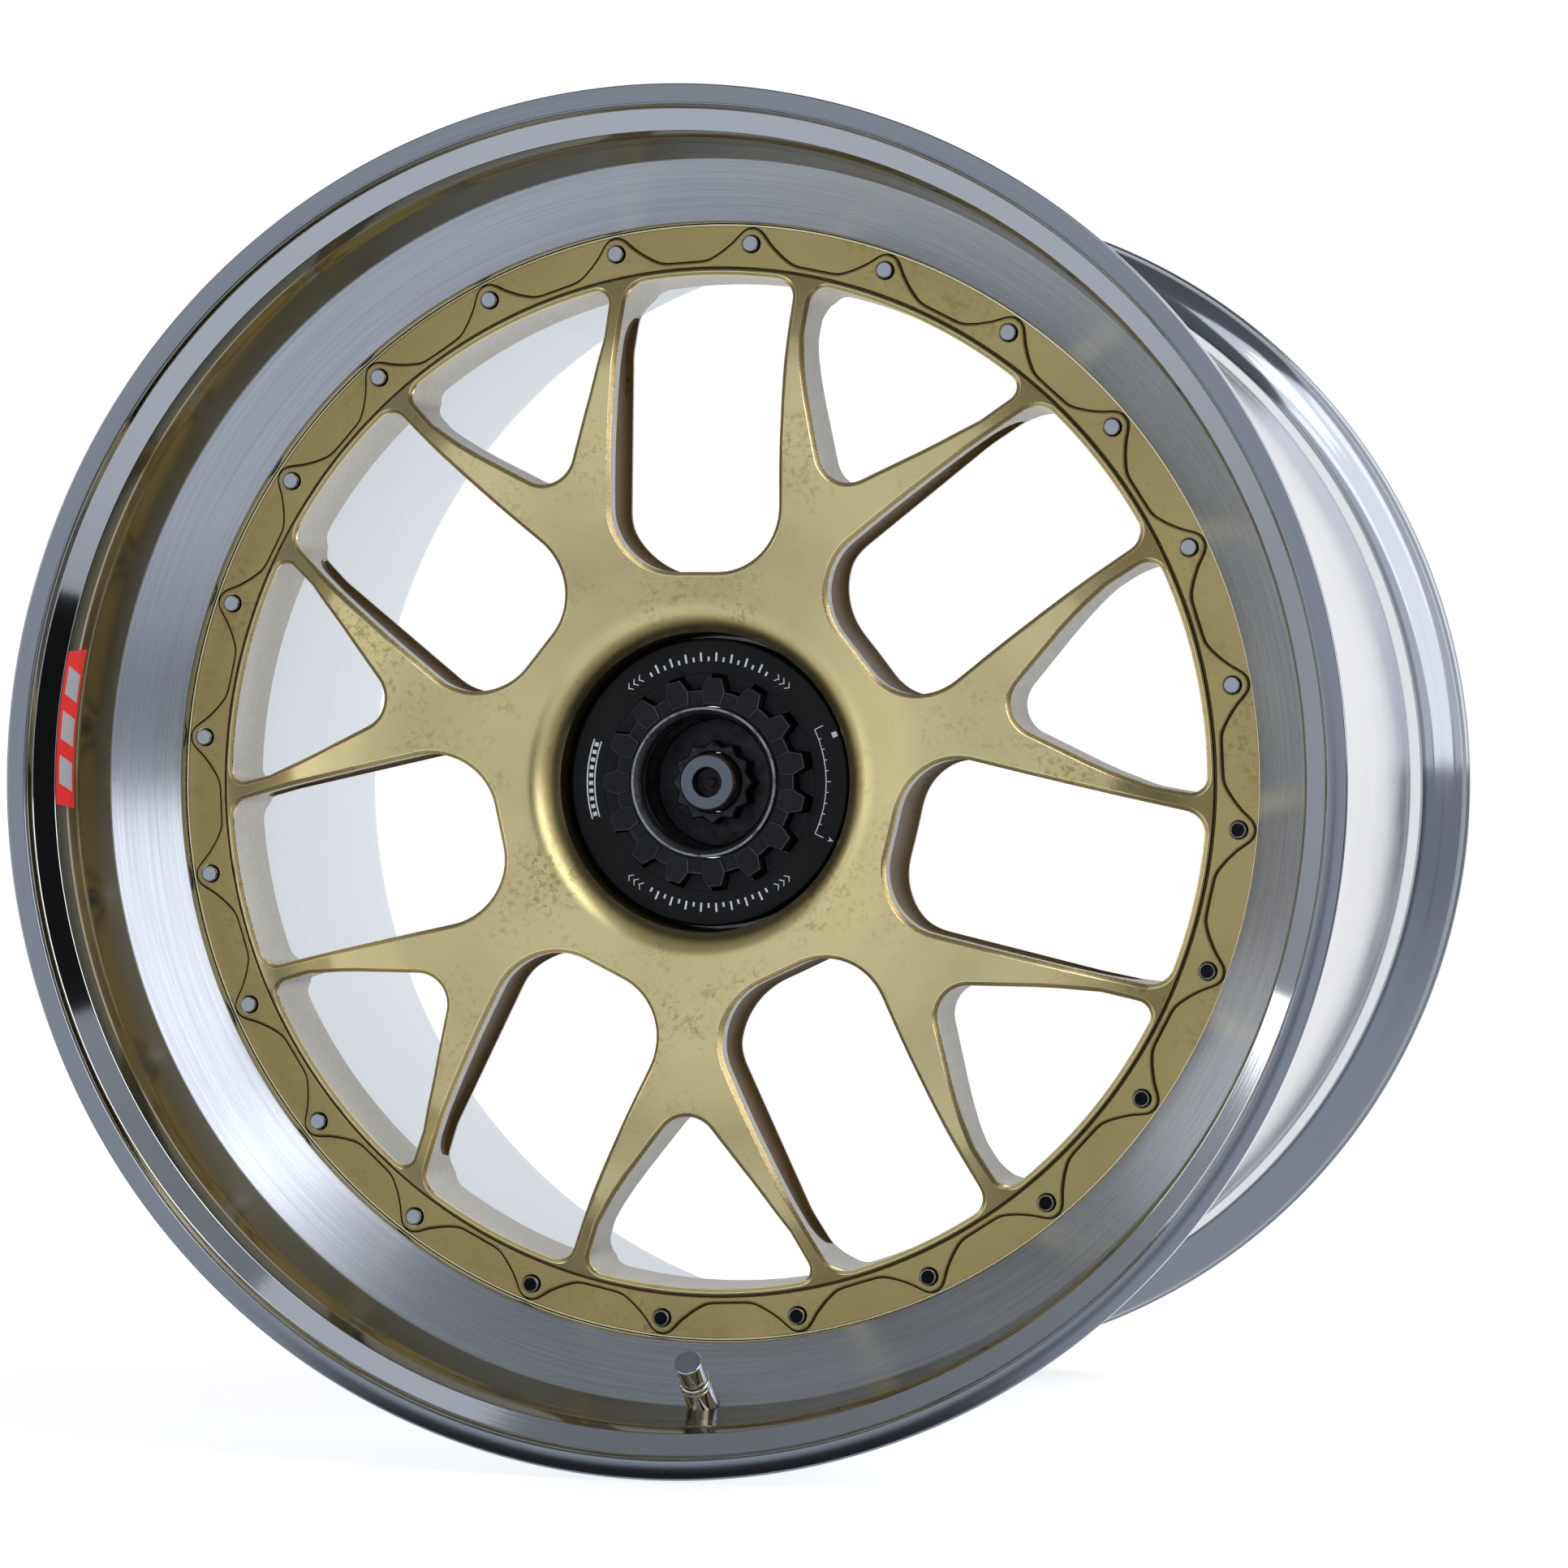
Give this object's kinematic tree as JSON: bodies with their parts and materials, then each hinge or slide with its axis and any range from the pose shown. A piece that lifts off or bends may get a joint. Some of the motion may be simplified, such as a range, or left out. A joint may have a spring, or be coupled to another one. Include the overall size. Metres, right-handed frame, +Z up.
{
  "type": "forged racing wheel rim",
  "caption": "Three-piece forged racing wheel rim with forked spokes, a deep bolted outer lip, a wide barrel, a centre-lock nut with a spring plunger lock, and a capped tyre valve.",
  "frame": {"origin": "on the spin axis, halfway across the overall width", "axes": "+Y along the spin axis from the street side to the car side, +Z up, +X to the right seen from the street side; the valve is at the bottom"},
  "size_m": [0.497, 0.363, 0.497],
  "materials": {
    "gold_satin": "satin gold anodised, bare machined window walls, light bronze wear at the edges",
    "lip_polished": "circumferentially brushed and polished",
    "barrel_satin": "spun satin with a soft polish",
    "seal_rubber": "matt black",
    "dark_steel": "dark oiled steel",
    "worn_steel": "worn dark steel with brown staining",
    "pin_grey": "grey satin, rusty at the edge",
    "nut_black": "black hard anodised, matt",
    "bolt_chrome": "mirror-like plated tips",
    "valve_chrome": "plated, mirror-like",
    "brass": "plain turned"
  },
  "bodies": {
    "wheel": {"wheel_centre": "gold_satin", "outer_rim_half": "lip_polished", "inner_rim_half": "barrel_satin", "rim_seal_ring": "seal_rubber", "nut_seat_ring": "dark_steel", "drive_bush_1": "dark_steel", "drive_bush_2": "dark_steel", "drive_bush_3": "dark_steel", "drive_bush_4": "dark_steel", "drive_bush_5": "dark_steel", "valve_stem": "valve_chrome", "valve_grommet": "seal_rubber", "valve_nut": "valve_chrome", "rim_bolt_01": "bolt_chrome", "rim_bolt_02": "bolt_chrome", "rim_bolt_03": "bolt_chrome", "rim_bolt_04": "bolt_chrome", "rim_bolt_05": "bolt_chrome", "rim_bolt_06": "bolt_chrome", "rim_bolt_07": "bolt_chrome", "rim_bolt_08": "bolt_chrome", "rim_bolt_09": "bolt_chrome", "rim_bolt_10": "bolt_chrome", "rim_bolt_11": "bolt_chrome", "rim_bolt_12": "bolt_chrome", "rim_bolt_13": "bolt_chrome", "rim_bolt_14": "bolt_chrome", "rim_bolt_15": "bolt_chrome", "rim_bolt_16": "bolt_chrome", "rim_bolt_17": "bolt_chrome", "rim_bolt_18": "bolt_chrome", "rim_bolt_19": "bolt_chrome", "rim_bolt_20": "bolt_chrome", "rim_bolt_21": "bolt_chrome", "rim_bolt_22": "bolt_chrome", "rim_bolt_23": "bolt_chrome", "rim_bolt_24": "bolt_chrome"},
    "thrust_ring": {"thrust_ring": "brass"},
    "centre_nut": {"centre_nut": "nut_black", "tool_crown": "nut_black", "lock_sleeve": "worn_steel", "retaining_ring": "dark_steel"},
    "plunger": {"lock_plunger": "dark_steel", "plunger_pin": "pin_grey", "plunger_spring": "dark_steel"},
    "cap_seal": {"valve_cap_seal": "seal_rubber"},
    "valve_cap": {"valve_cap": "valve_chrome"},
    "valve_core": {"valve_core_pin": "brass"}
  },
  "joints": [
    {"name": "nut_travel", "type": "slide", "parent": "wheel", "child": "thrust_ring", "axis": [0, -1, 0], "range_m": [0, 0.012]},
    {"name": "nut_turn", "type": "hinge", "parent": "thrust_ring", "child": "centre_nut", "pos_m": [0, -0.1, 0], "axis": [0, -1, 0], "range_deg": [0, 1440]},
    {"name": "plunger_press", "type": "slide", "parent": "centre_nut", "child": "plunger", "axis": [0, 1, 0], "range_m": [0, 0.006], "stiffness_N_per_m": 2500, "springref_m": -0.004, "deforming": ["plunger_spring"]},
    {"name": "cap_travel", "type": "slide", "parent": "wheel", "child": "cap_seal", "axis": [-0.0152, -0.7422, 0.67], "range_m": [0, 0.004]},
    {"name": "cap_turn", "type": "hinge", "parent": "cap_seal", "child": "valve_cap", "pos_m": [0.00515, -0.1319, -0.22714], "axis": [-0.0152, -0.7422, 0.67], "range_deg": [0, 1800]},
    {"name": "core_press", "type": "slide", "parent": "wheel", "child": "valve_core", "axis": [0.0152, 0.7422, -0.67], "range_m": [0, 0.0015], "stiffness_N_per_m": 100, "springref_m": -0.002}
  ],
  "couplings": [
    {"joint": "nut_travel", "follows": "nut_turn", "m_per_rad": 0.00047746},
    {"joint": "cap_turn", "follows": "cap_travel", "rad_per_m": 7853.9}
  ]
}
